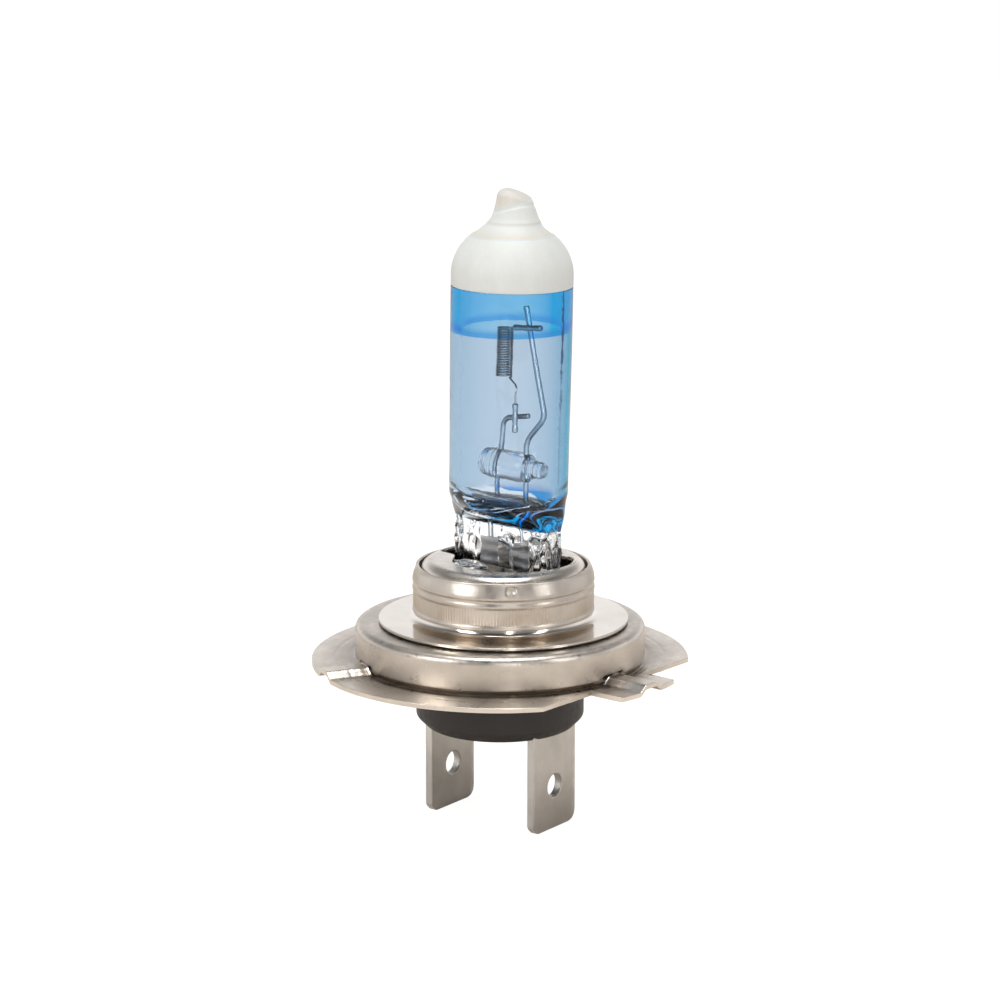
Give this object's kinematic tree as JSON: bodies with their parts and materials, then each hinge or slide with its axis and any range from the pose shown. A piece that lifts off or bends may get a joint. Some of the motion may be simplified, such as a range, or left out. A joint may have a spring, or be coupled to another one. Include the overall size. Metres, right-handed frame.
{
  "type": "headlight bulb",
  "caption": "Halogen headlight bulb: blue-tinted glass capsule with a white dome, focused in a flanged metal cap with an index tab and two flat blade terminals.",
  "frame": {"origin": "on the lamp axis (the axis of the reference drum) in the reference plane, which is the plane of the three bead tops of the flange", "axes": "+Z along the lamp axis towards the glass tip, +X towards the index tab of the flange, +Y completes the right-handed frame"},
  "size_m": [0.034, 0.0338, 0.057],
  "materials": {
    "plated_steel": "nickel-plated sheet steel, satin with a warm tone and bright rolled edges",
    "bright_steel": "smooth bright sheet steel",
    "terminal_metal": "plated blade stock, satin with fine scratches",
    "black_insulator": "matt black moulded insulator",
    "blue_glass": "clear quartz glass with a pale blue coat, dense blue bands near both ends of the tube",
    "clear_glass": "fire-polished clear glass",
    "white_coating": "satin warm white ceramic-like coating over the dome",
    "wire_metal": "drawn bright refractory wire",
    "tungsten": "dark drawn tungsten wire",
    "foil_metal": "thin grey refractory foil"
  },
  "bodies": {
    "root": {"index_flange": "plated_steel", "reference_drum": "plated_steel", "focus_disc": "bright_steel", "cap_sleeve": "plated_steel", "cap_cover": "plated_steel", "pinch_clip": "bright_steel", "insulator_base": "black_insulator", "terminal_left": "terminal_metal", "terminal_right": "terminal_metal", "glass_envelope": "blue_glass", "dome_coating": "white_coating", "glass_bridge": "clear_glass", "long_support_post": "wire_metal", "short_support_post": "wire_metal", "filament": "tungsten", "upper_clamp_tube": "wire_metal", "lower_clamp_tube": "wire_metal", "seal_foil_short": "foil_metal", "seal_foil_long": "foil_metal", "outer_lead_short": "wire_metal", "outer_lead_long": "wire_metal"}
  },
  "joints": []
}
